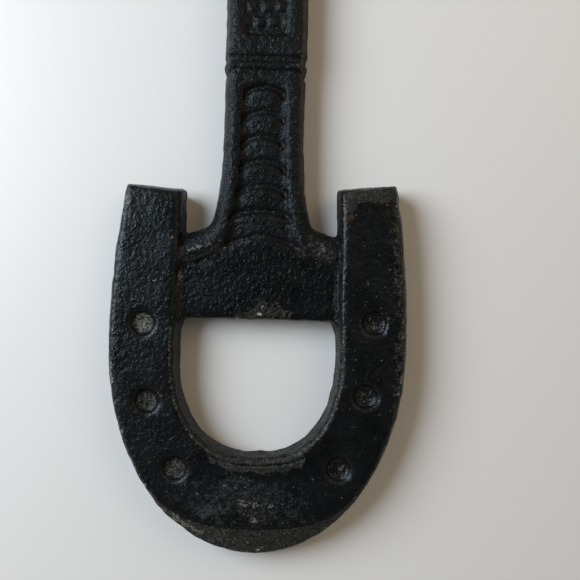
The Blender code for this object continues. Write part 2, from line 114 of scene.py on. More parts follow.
# The shank's relief, in mm. Its grooves lie a little below the crests of the CAD's scales, where
# the photograph has them
SCALE_FIRST_CREST_Y = -15.4
SCALE_PITCH = 9.8
SCALE_SAG = 4.0
SCALE_HALF_WIDTHS = (6.8, 7.0, 7.3, 7.9, 9.0, 11.2)
SCALE_GROOVE, SCALE_GROOVE_OUT, SCALE_GROOVE_WIDTH = 1.00, 1.1, 1.35
SCALE_RIM, SCALE_RIM_IN, SCALE_RIM_WIDTH = 0.12, 1.8, 1.2
SCALE_CROWN = 0.50
CROWN_LEVEL = 0.45  # how much of the crown stands above the scale's mean
WEB_CREST_Y = -73.8
WEB_ARCH_SLOPE = 0.447
WEB_ARCH_ROUNDING = 6.0
ARCH_GROOVE, ARCH_GROOVE_UP, ARCH_GROOVE_WIDTH = 0.55, 0.9, 0.8
SHANK_TOP_Y = -7.5
SHOULDER_INNER = (10.2, -6.6)  # ends of the slanting groove at each upper corner of the panel
SHOULDER_OUTER = (16.4, -10.2)
SHOULDER_GROOVE, SHOULDER_GROOVE_WIDTH = 0.32, 0.7

SOCKET_CENTRE = (0.0, 165 * MM)
SOCKET_REACH = 23 * MM

# Nail recesses, in mm: x, y, how bare the floor is and how pale its iron is
BARE_COLUMN, PALE_COLUMN = 2, 3
RECESSES = (
    (-45.3, -108.8, 1.00, 0.48),
    (-43.0, -139.3, 0.60, 0.18),
    (-31.0, -165.6, 0.68, 0.19),
    (45.9, -106.2, 0.35, 0.13),
    (43.1, -135.2, 0.42, 0.12),
    (33.2, -164.0, 0.38, 0.08),
)
RECESS_RADIUS = 5.7 * MM
RECESS_HOLLOW, RECESS_HOLLOW_REACH = 0.15, 3.6
RECESS_RING, RECESS_RING_RISE, RECESS_RING_FALL = 0.14, (2.4, 3.8), (4.2, 5.6)

# Worn patches on the faces, in mm: x, y, half width, half length, strength, raggedness
BARE_PATCHES = (
    (2.2, -106.5, 12.5, 7.4, 0.60, 0.5),
    (18.0, -108.5, 9.0, 1.8, 0.8, 0.5),
    (-14.0, -109.0, 8.0, 1.2, 0.7, 0.5),
    (43.2, -56.5, 11.5, 2.7, 1.0, 0.35),
    (35.0, -59.5, 2.8, 3.8, 1.0, 0.35),
    (23.6, -76.8, 7.5, 6.6, 0.40, 0.9),
    (27.5, -72.0, 5.0, 3.5, 0.46, 0.6),
    (-31.4, -97.0, 1.4, 10.5, 0.9, 0.5),
    (55.0, -77.0, 2.6, 26.0, 0.50, 1.1),
    (56.5, -128.0, 2.4, 26.0, 0.48, 1.1),
    (-21.0, -84.6, 4.0, 2.2, 0.5, 0.8),
    (2.0, -181.0, 16.0, 5.5, 0.26, 1.5),
    (0.0, -173.5, 22.0, 5.0, 0.16, 1.5),
)
PALE_PATCHES = (
    (-7.8, -106.3, 1.5, 0.7, 1.0, 0.2),
    (0.3, -104.1, 1.3, 0.6, 1.0, 0.2),
    (1.5, -101.3, 0.6, 0.5, 1.0, 0.1),
    (2.6, -197.6, 0.8, 0.8, 1.0, 0.2),
    (-51.8, -60.6, 1.8, 1.8, 0.55, 0.6),
    (-34.6, -74.9, 0.5, 1.1, 0.55, 0.5),
    (-31.5, -89.7, 1.0, 2.4, 0.48, 0.5),
    (25.1, -77.4, 1.2, 1.6, 0.50, 0.5),
    (-0.3, -184.7, 2.0, 1.2, 0.46, 0.9),
    (-22.2, -175.5, 1.3, 1.0, 0.48, 0.8),
    (-10.6, -171.3, 0.9, 0.8, 0.50, 0.6),
    (43.0, -91.0, 0.4, 0.4, 1.0, 0.1),
    (-41.0, -92.0, 0.4, 0.4, 1.0, 0.1),
)
RUST_PATCHES = (
    (34.8, -64.7, 1.8, 1.8, 1.0, 0.25),
    (3.0, -103.5, 7.0, 4.5, 0.31, 0.7),
    (26.5, -79.0, 2.0, 2.6, 0.40, 0.8),
    (29.0, -73.0, 2.6, 2.0, 0.36, 0.7),
)
# Lighter blue-grey patches, partly dust and partly painted sheen: on the toe, on the web's left
# side and along the fillet at the web's right edge
DUST_AND_SHEEN_PATCHES = (
    (-17.0, -180.1, 8.5, 5.5, 0.95, 0.6),
    (10.0, -180.0, 12.0, 6.0, 0.66, 0.6),
    (-2.0, -177.0, 25.0, 11.0, 0.66, 0.6),
    (30.7, -95.0, 1.3, 11.0, 0.9, 0.6),
    (-24.0, -95.0, 8.0, 9.0, 0.25, 0.8),
    (-3.5, -70.0, 3.0, 3.0, 0.55, 0.6),
    (5.0, -67.0, 2.0, 2.0, 0.5, 0.6),
)
# Pale lines along the left rib's crest, the web's arch and the toe's bevel: worn paint, and painted
# highlights where these crests catch the light
PALE_STREAKS_AND_HIGHLIGHTS = (  # x, y to x, y, half width, strength
    (-28.3, -79.8, -24.0, -78.2, 0.55, 0.62),
    (-24.0, -78.2, -19.0, -76.4, 0.45, 0.52),
    (-31.0, -183.5, -26.0, -187.5, 1.0, 0.55),
    (-26.0, -187.5, -20.0, -191.0, 1.0, 0.50),
    (-5.0, -177.8, -1.0, -178.8, 1.2, 0.44),
    (0.5, -178.6, 7.0, -179.0, 1.1, 0.44),
    (-15.0, -78.6, -8.0, -76.0, 0.30, 0.45),
    (-8.0, -76.0, -1.0, -74.8, 0.25, 0.40),
)
PATCH_SPAN = (0.75, 1.15)  # a patch is whole out to the first share of its size, gone at the second
DUST_AND_SHEEN_SPAN = (0.3, 1.4)
STREAK_SPAN = (0.7, 1.2)
STREAK_RAGGEDNESS = 0.6
RECESS_SPAN = (0.45, 0.90)
RECESS_RAGGEDNESS = 0.10

# How strongly each worn feature shows in the masks of bare iron and of pale iron. The line along
# the right arm's inner top edge is a painted highlight, and the eye's lip is partly one
BARE = {
    "crotch left": 0.75, "crotch right": 0.48, "edges": 0.45, "eye strip": 0.95, "eye walls": 0.494,
    "eye_lip_wear_and_highlight": 0.66, "handle_walls": 0.66, "rim_chips": 0.9, "socket": 0.9, "tips": 0.8,
    "toe": 0.85, "walls": 0.50,
}
PALE = {
    "edges": 0.66, "eye_lip_wear_and_highlight": 0.26, "handle_walls": 0.24, "right_lip_highlight": 0.34, "rim_chips": 0.72,
    "tip left": 0.62, "tip right": 0.50, "toe": 0.17,
}
PANEL_EDGE_SHARE = 0.3  # how much the edges in the shank's panel wear, against the outer ones
DUST_AND_SHEEN_EDGES = 0.5
CREASE_COVER = 0.85
# the walls beside the web keep their black paint, partly as painted shade
WEB_GAP_PAINT_AND_SHADE_COVER = 0.8
EYE_STRIP_Y = -166.2  # mm, where the chipped strip under the eye ends

SLOTS = {
    "horseshoe_head": "head_paint",
    "web_plate": "web_paint",
    "shank": "handle_paint",
    "lower_collar": "handle_paint",
    "grip": "handle_paint",
    "upper_collar": "handle_paint",
    "neck": "handle_paint",
    "pentagon_socket": "socket_paint",
}


# ---- noise ----


HASH_PRIMES = (73856093, 19349663, 83492791)
SEED_PRIME = 2654435761
MIXING_PRIME = 1274126177
NOISE_GAIN = 1.6
STEPS = [(x, y, z) for x in (-1, 0, 1) for y in (-1, 0, 1) for z in (-1, 0, 1) if x or y or z]
GRADIENTS = np.array(STEPS) / np.linalg.norm(STEPS, axis=1)[:, None]
CORNERS = np.array([(x, y, z) for x in (0, 1) for y in (0, 1) for z in (0, 1)])


def hashed(cells, seed):
    """A repeatable pseudo-random whole number for each lattice cell."""
    x, y, z = (cells * HASH_PRIMES).T
    mixed = x ^ y ^ z ^ seed * SEED_PRIME
    mixed = (mixed ^ (mixed >> 13)) * MIXING_PRIME
    return (mixed ^ (mixed >> 16)) & 0xFFFF


def gradient_noise(points, wavelength, seed):
    """Smooth noise between about -1 and 1, with features one wavelength apart."""
    scaled = points / wavelength
    cells = np.floor(scaled).astype(np.int64)
    inside = scaled - cells
    fade = inside**3 * (inside * (inside * 6 - 15) + 10)
    total = np.zeros(len(points))
    for corner in CORNERS:
        slopes = GRADIENTS[hashed(cells + corner, seed) % len(GRADIENTS)]
        share = np.prod(np.where(corner, fade, 1 - fade), axis=1)
        total += share * np.einsum("ij,ij->i", slopes, inside - corner)
    return NOISE_GAIN * total


def layered(points, layers):
    """The sum of several layers of noise."""
    return sum(height * gradient_noise(points, wave * MM, seed) for height, wave, seed in layers)


def smoothstep(low, high, value):
    share = np.clip((value - low) / (high - low), 0, 1)
    return share * share * (3 - 2 * share)


def bell(offset, width):
    """1 where the offset is 0, and fading to nothing about two widths away."""
    return np.exp(-((offset / width) ** 2))


# ---- distance fields ----


def blurred(field, sigma):
    """The field smoothed by a Gaussian of sigma voxels along all three axes."""
    reach = int(math.ceil(3 * sigma))
    weights = [math.exp(-0.5 * (i / sigma) ** 2) for i in range(-reach, reach + 1)]
    for axis in range(3):
        count = field.shape[axis]
        moved = np.moveaxis(field, axis, 0)
        padded = np.concatenate([moved[:1]] * reach + [moved] + [moved[-1:]] * reach)
        total = np.zeros_like(moved)
        for i, weight in enumerate(weights):
            total += np.float32(weight / sum(weights)) * padded[i : i + count]
        field = np.moveaxis(total, 0, axis)
    return np.ascontiguousarray(field)


def smooth_union(first, second, fillet):
    """The nearer of two distances, with a fillet where both are near."""
    near = np.maximum(fillet - np.abs(first - second), 0)
    return np.minimum(first, second) - near * near / (4 * fillet)


NODE_BOXES = {node: np.array(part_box(node)) for node in SLOTS}
LOW = np.min([box[0] for box in NODE_BOXES.values()], axis=0)
HIGH = np.max([box[1] for box in NODE_BOXES.values()], axis=0)
MIDDLE_Z = (LOW[2] + HIGH[2]) / 2
WEB_LOW_Y, WEB_HIGH_Y = NODE_BOXES["web_plate"][:, 1]
TIP_Y = NODE_BOXES["horseshoe_head"][1][1]
ORIGIN = np.floor(LOW / VOXEL).astype(int) - PAD
SHAPE = np.ceil(HIGH / VOXEL).astype(int) + PAD + 1 - ORIGIN


def window(node):
    """The slices of the whole field that hold one node and its surroundings."""
    low, high = NODE_BOXES[node] / VOXEL
    low = np.maximum(np.floor(low).astype(int) - PAD - ORIGIN, 0)
    high = np.minimum(np.ceil(high).astype(int) + PAD + 1 - ORIGIN, SHAPE)
    return tuple(slice(a, b) for a, b in zip(low, high))


def grid_corner(place):
    """The window's first voxel, as openvdb counts them."""
    return tuple(int(o + s.start) for o, s in zip(ORIGIN, place))


def voxel_grid():
    return openvdb.createLinearTransform(voxelSize=VOXEL)


def node_field(node):
    """Signed distance to one CAD node over its own window, negative inside."""
    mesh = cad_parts[node].data
    points = np.empty(len(mesh.vertices) * 3, np.float32)
    mesh.vertices.foreach_get("co", points)
    mesh.calc_loop_triangles()
    faces = np.empty(len(mesh.loop_triangles) * 3, np.int32)
    mesh.loop_triangles.foreach_get("vertices", faces)
    grid = openvdb.FloatGrid.createLevelSetFromPolygons(
        points.reshape(-1, 3),
        triangles=faces.reshape(-1, 3).astype(np.uint32),
        transform=voxel_grid(),
        halfWidth=float(BAND_VOXELS),
    )
    place = window(node)
    field = np.zeros([s.stop - s.start for s in place], np.float32)
    grid.copyToArray(field, ijk=grid_corner(place))
    return field


def spread(field, place):
    """The node's field laid into the whole space."""
    whole = np.full(SHAPE, BAND, np.float32)
    whole[place] = field
    return whole


def sampled(field, points):
    """The field's values at the points, by trilinear interpolation."""
    place = points / VOXEL - ORIGIN
    cell = np.clip(np.floor(place).astype(int), 0, SHAPE - 2)
    share = place - cell
    total = np.zeros(len(points))
    for corner in CORNERS:
        weight = np.prod(np.where(corner, share, 1 - share), axis=1)
        at = cell + corner
        total += weight * field[at[:, 0], at[:, 1], at[:, 2]]
    return total


def steepness(slope):
    """1 on an upright wall and 0 on a flat face, from the vertical part of its normal."""
    return 1 - smoothstep(0.35, 0.85, np.abs(slope))


def sand_cast(field, curve):
    """The field roughened as sand-cast iron: slow waves, lumps, pits, and edges knocked down."""
    rough = field.copy()
    band = np.nonzero(np.abs(field) < RELIEF_VOXELS * VOXEL)
    points = (np.stack(band, axis=1) + ORIGIN) * VOXEL
    edge = smoothstep(0.12 * MM, 0.6 * MM, curve[band])
    upright = steepness(np.gradient(field, VOXEL, axis=2)[band])
    relief = layered(points, SKIN_LAYERS)
    relief += PIT_DEPTH * smoothstep(0.45, 0.8, gradient_noise(points, 2.6 * MM, 6))
    relief += scale_relief(points) + shoulder_relief(points)
    relief += recess_relief(points) + arch_relief(points) + crease_relief(points)
    chips = smoothstep(-0.1, 0.6, gradient_noise(points, 4.5 * MM, 7))
    relief += edge * (EDGE_LOSS + EDGE_CHIP_DEPTH * chips)
    relief += upright * outer_wall(points) * wall_relief(points)
    rough[band] += (relief + SKIN_LOSS) * MM
    return rough


def outer_wall(points):
    """1 everywhere but in the shank's sunken panel, where it is 0."""
    in_panel = smoothstep(13.0 * MM, 11.5 * MM, np.abs(points[:, 0]))
    along = smoothstep(WEB_CREST_Y * MM, (WEB_CREST_Y + 3) * MM, points[:, 1])
    return 1 - in_panel * along * (points[:, 1] < SHANK_TOP_Y * MM)


def wall_relief(points):
    """Lumps on the side walls, and the seam where the two halves of the mould met, in mm."""
    from_seam = (points[:, 2] - MIDDLE_Z) / MM
    from_seam += SEAM_WANDER * gradient_noise(points, 15 * MM, 10)
    lumps = layered(points, WALL_LAYERS)
    return lumps - WALL_GAIN - SEAM_HEIGHT * bell(from_seam, SEAM_HALF_WIDTH)


def recess_relief(points):
    """Hollows each nail recess's middle and fills the foot of its wall a little, in mm."""
    relief = np.zeros(len(points))
    near_face = np.abs(points[:, 2] - MIDDLE_Z) > 3 * MM
    for x, y, *_ in RECESSES:
        away = np.hypot(points[:, 0] - x * MM, points[:, 1] - y * MM) / MM
        ring = smoothstep(*RECESS_RING_RISE, away) * (1 - smoothstep(*RECESS_RING_FALL, away))
        hollow = 1 - smoothstep(0.0, RECESS_HOLLOW_REACH, away)
        relief += (RECESS_HOLLOW * hollow - RECESS_RING * ring) * near_face
    return relief


def arch_relief(points):
    """The groove where the shank's panel ends above the web's arch, in mm."""
    x, y = points[:, 0] / MM, points[:, 1] / MM
    fall = WEB_ARCH_SLOPE * (np.hypot(x, WEB_ARCH_ROUNDING) - WEB_ARCH_ROUNDING)
    above = y - (WEB_CREST_Y - fall) - ARCH_GROOVE_UP
    return ARCH_GROOVE * bell(above, ARCH_GROOVE_WIDTH) * smoothstep(22, 10, np.abs(x))


def beyond_eye(x, y):
    """How far outside the eye's edge on the face a point lies."""
    down = np.maximum(EYE_WIDEST_Y - y, 0)
    across = np.abs(x / EYE_HALF_WIDTH)
    radius = (across**EYE_POWER + (down / EYE_DEPTH) ** EYE_POWER) ** (1 / EYE_POWER)
    return np.hypot(x, down) * (1 - 1 / np.maximum(radius, SMALLEST_RADIUS))


def inside_rim(x, y):
    """How far inside the head's outer edge a point lies."""
    depth = np.where(y > HEAD_WIDEST_Y, ARM_ELLIPSE_LENGTH, HEAD_TOE_DEPTH)
    radius = np.hypot(x / HEAD_HALF_WIDTH, (y - HEAD_WIDEST_Y) / depth)
    return np.hypot(x, y - HEAD_WIDEST_Y) * (1 / np.maximum(radius, SMALLEST_RADIUS) - 1)


def onto_bevel(x, y):
    """How far past the inner edge of the toe's bevel a point lies."""
    turn = np.arctan2(x / HEAD_HALF_WIDTH, (HEAD_WIDEST_Y - y) / HEAD_TOE_DEPTH)
    share = np.clip(np.abs(turn) / TOE_BEVEL_ANGLE, 0, 1)
    return TOE_FACE_INSET + TOE_BEVEL_WIDTH * (1 - share**2) ** 2 - inside_rim(x, y)


def eye_crease(x, y):
    """1 along the crease a little outside the eye's lower edge."""
    offset = EYE_CREASE_OFFSET + EYE_CREASE_DRIFT * smoothstep(8 * MM, 22 * MM, x)
    along = smoothstep(21 * MM, 17 * MM, np.abs(x - 2 * MM)) * (y < EYE_CURVE_TOP)
    return along * bell(beyond_eye(x, y) - MM * offset, EYE_CREASE_WIDTH)


def bevel_crease(x, y):
    """1 along the crease at the inner edge of the toe's bevel."""
    along = smoothstep(34 * MM, 24 * MM, np.abs(x)) * (y < HEAD_WIDEST_Y - 40 * MM)
    return along * bell(onto_bevel(x, y) + 0.2 * MM, BEVEL_CREASE_WIDTH)


def crease_relief(points):
    """The creases along the eye's lower edge and the toe's bevel, in mm."""
    x = points[:, 0]
    y = points[:, 1] + CREASE_WANDER * gradient_noise(points, 8 * MM, 11)
    near_face = np.abs(points[:, 2] - MIDDLE_Z) > CREASE_FACE_HEIGHT
    creases = np.maximum(eye_crease(x, y), BEVEL_CREASE_SHARE * bevel_crease(x, y))
    return CREASE_DEPTH * near_face * creases


def shoulder_relief(points):
    """The slanting grooves at the upper corners of the shank's panel, in mm."""
    x, y = np.abs(points[:, 0]) / MM - SHOULDER_INNER[0], points[:, 1] / MM - SHOULDER_INNER[1]
    run = np.array(SHOULDER_OUTER) - np.array(SHOULDER_INNER)
    along = np.clip((x * run[0] + y * run[1]) / (run @ run), 0, 1)
    away = np.hypot(x - along * run[0], y - along * run[1])
    return SHOULDER_GROOVE * bell(away, SHOULDER_GROOVE_WIDTH)


def scale_relief(points):
    """Cuts the groove above each of the shank's scales, lifts its rim and crowns it, in mm."""
    relief = np.zeros(len(points))
    x, y = points[:, 0] / MM, points[:, 1] / MM
    above_web = y > WEB_CREST_Y
    for i, half_width in enumerate(SCALE_HALF_WIDTHS):
        along = y - (SCALE_FIRST_CREST_Y - i * SCALE_PITCH - SCALE_SAG)
        u, v = x / half_width, np.maximum(along, 0) / SCALE_SAG
        radius = np.maximum(np.hypot(u, v), SMALLEST_RADIUS)
        slope = np.hypot(u / half_width, v / SCALE_SAG) / radius
        out = (radius - 1) / np.maximum(slope, 1e-6)
        arch = smoothstep(-0.5, 1.0, along) * (np.abs(x) < half_width + 1.5) * above_web
        groove = SCALE_GROOVE * bell(out - SCALE_GROOVE_OUT, SCALE_GROOVE_WIDTH)
        rim = SCALE_RIM * bell(out + SCALE_RIM_IN, SCALE_RIM_WIDTH)
        relief += arch * (groove - rim)
        on_scale = smoothstep(0.6, -0.6, out) * (along > SCALE_SAG - SCALE_PITCH) * above_web
        sides = smoothstep(1.0, 0.7, np.abs(u))
        relief -= SCALE_CROWN * (CROWN_LEVEL - u**2) * on_scale * sides
    return relief


def soft_shank(fields):
    """The shank's field, its ribs and scales rounded off, run on a little into its neighbours."""
    place = window("shank")
    joined = fields["shank"]
    for other in ("lower_collar", "web_plate"):
        joined = np.minimum(joined, spread(fields[other], window(other))[place])
    soft = blurred(joined, SHANK_SOFTNESS)
    return soft + np.maximum(fields["shank"] - SHANK_OVERRUN, 0)


def cast_skin(fields):
    """The whole casting's field, all nodes joined and softened, and how convex it is."""
    softened = dict(fields, shank=soft_shank(fields))
    dilated = {
        node: spread(field, window(node)) - GAP_CLOSING for node, field in softened.items()
    }
    handle = dilated["lower_collar"]
    for node in ("shank", "grip", "upper_collar", "neck", "pentagon_socket"):
        handle = smooth_union(handle, dilated[node], NARROW_FILLET)
    handle = smooth_union(handle, dilated["web_plate"], WEB_FILLET)
    head = smooth_union(dilated["horseshoe_head"], dilated["web_plate"], WIDE_FILLET)
    joined = np.minimum(smooth_union(handle, dilated["horseshoe_head"], WIDE_FILLET), head)
    soft = blurred(joined + GAP_CLOSING, EDGE_ROUNDING)
    curve = blurred(soft, CURVATURE_REACH) - soft
    return sand_cast(soft, curve), curve


def own_share(node, fields, skin):
    """The part of the skin that belongs to one node, running on a little under its neighbours."""
    place = window(node)
    others = np.full(skin[place].shape, BAND, np.float32)
    for other, field in fields.items():
        if other != node:
            others = np.minimum(others, spread(field, window(other))[place])
    beyond = (fields[node] - others) / 2
    share = skin[place] + DIVE * np.clip(beyond, 0, None)
    return np.maximum(share, np.minimum(beyond - OVERLAP, BAND)), place


def island_labels(count, links):
    """For each of count points, the lowest point that the links join it to."""
    label = np.arange(count)
    while True:
        ends = label[links]
        low, high = ends.min(axis=1), ends.max(axis=1)
        if np.array_equal(low, high):
            return label
        np.minimum.at(label, high, low)
        while not np.array_equal(label, label[label]):
            label = label[label]


def meshed(field, place):
    """Points and faces of the field's largest closed surface, in the row frame."""
    grid = openvdb.FloatGrid(float(BAND))
    grid.transform = voxel_grid()
    grid.copyFromArray(np.ascontiguousarray(field), ijk=grid_corner(place))
    points, *kinds = grid.convertToPolygons(isovalue=0.0, adaptivity=0.0)
    links = [faces[:, i : i + 2] for faces in kinds for i in range(faces.shape[1] - 1)]
    label = island_labels(len(points), np.concatenate(links).astype(np.int64))
    keep = label == np.bincount(label).argmax()
    renumbered = np.cumsum(keep) - 1
    triangles, quads = (renumbered[faces[keep[faces[:, 0]]][:, ::-1]].tolist() for faces in kinds)
    return points[keep], quads + triangles


# ---- where the paint has gone, and where highlights, sheen and shade are painted ----


def strongest(*masks):
    return np.maximum.reduce(masks)


class WearAndPaintedLight:
    """Masks over a piece's points, each from 0 to 1: wear, dust, and painted highlights, sheen and
    shade. The base is worn as the top, turned over.
    """

    def __init__(self, points, normals, curve):
        top = np.where(points[:, 2] > MIDDLE_Z, 1.0, -1.0)
        self.points = points
        self.x = points[:, 0] * top
        self.y = points[:, 1]
        self.height = np.abs(points[:, 2] - MIDDLE_Z)
        self.on_face = self.height > 6.2 * MM
        self.normals = normals
        self.upright = steepness(normals[:, 2])
        self.curve = curve
        self.patchy = 0.5 + 0.5 * gradient_noise(points, 9 * MM, 21)
        self.ragged = layered(points, RAGGED_LAYERS)

    def patches(self, patches, span=PATCH_SPAN):
        """Ragged ovals on the faces and the upper part of the walls."""
        mask = np.zeros(len(self.x))
        for x, y, half_x, half_y, strength, raggedness in patches:
            away = np.hypot((self.x / MM - x) / half_x, (self.y / MM - y) / half_y)
            away += raggedness * self.ragged
            mask = np.maximum(mask, strength * (1 - smoothstep(*span, away)))
        return mask * smoothstep(2.2 * MM, 3.4 * MM, self.height)

    def streaks(self, streaks):
        mask = np.zeros(len(self.x))
        for x0, y0, x1, y1, half_width, strength in streaks:
            run = np.array((x1 - x0, y1 - y0))
            from_start = np.stack((self.x / MM - x0, self.y / MM - y0), axis=1)
            share = np.clip(from_start @ run / (run @ run), 0, 1)
            away = np.linalg.norm(from_start - share[:, None] * run, axis=1) / half_width
            away += STREAK_RAGGEDNESS * self.ragged
            mask = np.maximum(mask, strength * (1 - smoothstep(*STREAK_SPAN, away)))
        return mask

    def recesses(self, column):
        """The floors of the nail recesses, weighted by one column of their table."""
        mask = np.zeros(len(self.x))
        for recess in RECESSES:
            away = np.hypot(self.x - recess[0] * MM, self.y - recess[1] * MM) / RECESS_RADIUS
            away += RECESS_RAGGEDNESS * self.ragged
            mask = np.maximum(mask, recess[column] * (1 - smoothstep(*RECESS_SPAN, away)))
        return mask * (self.height < 7.1 * MM)

    def toe(self):
        """The worn bevel round the toe, and the head's outer edge."""
        low = smoothstep(-150 * MM, -178 * MM, self.y)
        past_edge = onto_bevel(self.x, self.y) / MM + 0.5 * self.ragged
        return low * smoothstep(-0.3, 0.7, past_edge)

    def eye_strip(self):
        """The chipped strip along the eye's lower lip."""
        out = beyond_eye(self.x, self.y)
        strip = smoothstep(-1.5 * MM, -0.5 * MM, out) * (self.y < EYE_CURVE_TOP)
        scallop = gradient_noise(self.points, 5.5 * MM, 25)
        across = np.abs(self.x / MM - 1.5)
        low = EYE_STRIP_Y + 2.6 * smoothstep(9, 18, across)
        strip *= smoothstep(-0.4, 0.4, self.y / MM - low + 0.8 * self.ragged + 1.1 * scallop)
        return strip * smoothstep(21, 17, across + 1.8 * self.ragged + 2.0 * scallop)

    def eye_walls(self):
        in_eye = beyond_eye(self.x, self.y) < 0.5 * MM
        in_eye &= (self.y < WEB_LOW_Y + 1.5 * MM) & (np.abs(self.x) < EYE_HALF_WIDTH + MM)
        in_eye &= self.y > EYE_WIDEST_Y - EYE_DEPTH - 2 * MM
        return in_eye * self.upright

    def eye_lip_wear_and_highlight(self):
        """The worn line where the eye's side walls meet the face, made paler still as a painted
        highlight along that edge.
        """
        out = np.abs(beyond_eye(self.x, self.y) / MM - 0.1) + 0.45 * self.ragged
        beside = (self.y < WEB_LOW_Y) & (self.y > EYE_WIDEST_Y - 40 * MM)
        return smoothstep(1.0, 0.2, out) * beside * self.on_face

    def web_gap_paint_and_shade(self):
        """The arms' inner walls beside the web, kept black: the paint is whole there, and the black
        paints in the shade of the gap too.
        """
        across = np.abs(self.x)
        beside = (across > 28 * MM) & (across < 36 * MM) & (self.y > -100 * MM)
        return beside * self.upright * smoothstep(7.2 * MM, 6.2 * MM, self.height)

    def rim_chips(self):
        """Small chips along the edge where the head's faces turn down to its outer walls."""
        near = smoothstep(1.5, 0.5, np.abs(inside_rim(self.x, self.y) / MM - 1.7))
        speckled = gradient_noise(self.points, 1.7 * MM, 26) + 0.5 * self.patchy - 0.25
        chips = smoothstep(0.25, 0.60, speckled)
        return near * chips * (self.height > 5.0 * MM) * (self.y < -56 * MM)

    def handle_walls(self):
        """The long side walls of the handle."""
        along = smoothstep(-62 * MM, -52 * MM, self.y) * smoothstep(118 * MM, 106 * MM, self.y)
        return along * self.upright * outer_wall(self.points) * (0.5 + 0.7 * self.patchy)

    def socket(self):
        away = np.hypot(self.x - SOCKET_CENTRE[0], self.y - SOCKET_CENTRE[1])
        return (away < SOCKET_REACH) * self.upright

    def crotches(self):
        """The outer walls of the ribs where they sweep out to the arms."""
        across = np.abs(self.x)
        region = smoothstep(WEB_HIGH_Y - 14 * MM, WEB_HIGH_Y - 8 * MM, self.y)
        region *= 1 - smoothstep(WEB_HIGH_Y + 10 * MM, WEB_HIGH_Y + 20 * MM, self.y)
        region *= smoothstep(13.5 * MM, 17 * MM, across) * (across < 33 * MM)
        outward = self.normals[:, 1] + 0.6 * self.normals[:, 0] * np.sign(self.points[:, 0])
        strength = np.where(self.x < 0, BARE["crotch left"], BARE["crotch right"])
        return region * smoothstep(0.22, 0.5, outward) * strength

    def tips(self):
        """The ends of the arms."""
        at_tip = (self.y > TIP_Y - 6 * MM) * (np.abs(self.x) > 29 * MM)
        return smoothstep(0.3, 0.7, self.normals[:, 1]) * at_tip

    def right_lip_highlight(self):
        """A painted highlight: the pale line along the right arm's inner top edge, where it catches
        the light.
        """
        lip_x = 32.9 + 0.012 * (-60 - self.y / MM)
        near = smoothstep(0.60, 0.20, np.abs(self.x / MM - lip_x) + 0.1 * self.ragged)
        return near * (self.y < -57 * MM) * (self.y > -122 * MM) * self.on_face

    def edges(self):
        return smoothstep(0.22, 0.60, self.curve / MM) * (0.35 + 0.65 * self.patchy)

    def creases(self):
        return np.maximum(eye_crease(self.x, self.y), bevel_crease(self.x, self.y))

    def masks(self):
        edges, eye_lip_wear_and_highlight, handle_walls = self.edges(), self.eye_lip_wear_and_highlight(), self.handle_walls()
        rim_chips, tips, toe = self.rim_chips(), self.tips(), self.toe()
        outer = outer_wall(self.points)
        chipped = smoothstep(0.1, 0.5, gradient_noise(self.points, 2.5 * MM, 24))
        marks = strongest(
            self.patches(PALE_PATCHES),
            # worn lines along the crests, partly painted highlights
            self.streaks(PALE_STREAKS_AND_HIGHLIGHTS),
            # painted highlight along the right arm's inner top edge
            PALE["right_lip_highlight"] * self.right_lip_highlight(),
            # the eye's lip: worn paint, and a painted highlight along the edge
            PALE["eye_lip_wear_and_highlight"] * eye_lip_wear_and_highlight,
        )
        bare = strongest(
            marks,
            self.patches(BARE_PATCHES),
            self.recesses(BARE_COLUMN),
            self.crotches(),
            BARE["eye strip"] * self.eye_strip(),
            BARE["eye walls"] * self.eye_walls(),
            BARE["eye_lip_wear_and_highlight"] * eye_lip_wear_and_highlight,
            BARE["handle_walls"] * handle_walls,
            BARE["rim_chips"] * rim_chips,
            BARE["socket"] * self.socket(),
            BARE["tips"] * tips,
            BARE["toe"] * toe,
            BARE["walls"] * self.upright * self.patchy * outer,
        )
        bare += BARE["edges"] * edges * (PANEL_EDGE_SHARE + (1 - PANEL_EDGE_SHARE) * outer)
        # the walls beside the web stay black, partly as painted shade
        bare *= (1 - CREASE_COVER * self.creases()) * (1 - WEB_GAP_PAINT_AND_SHADE_COVER * self.web_gap_paint_and_shade())
        pale = strongest(
            marks,
            self.recesses(PALE_COLUMN),
            PALE["edges"] * edges * chipped,
            PALE["handle_walls"] * handle_walls,
            PALE["rim_chips"] * rim_chips,
            # the toe paler towards its left: worn iron, and painted sheen where the light from the
            # left falls
            PALE["toe"] * toe * smoothstep(40 * MM, -25 * MM, self.x),
            tips * np.where(self.x < 0, PALE["tip left"], PALE["tip right"]),
        )
        # dust and painted sheen: the lighter patches, and the outer edges
        dust_and_sheen = strongest(self.patches(DUST_AND_SHEEN_PATCHES, DUST_AND_SHEEN_SPAN), DUST_AND_SHEEN_EDGES * edges * outer)
        return {
            "bare": np.clip(bare, 0, 1),
            "pale": pale,
            "rust": self.patches(RUST_PATCHES),
            "dust_and_sheen": dust_and_sheen,
        }


# ---- materials ----


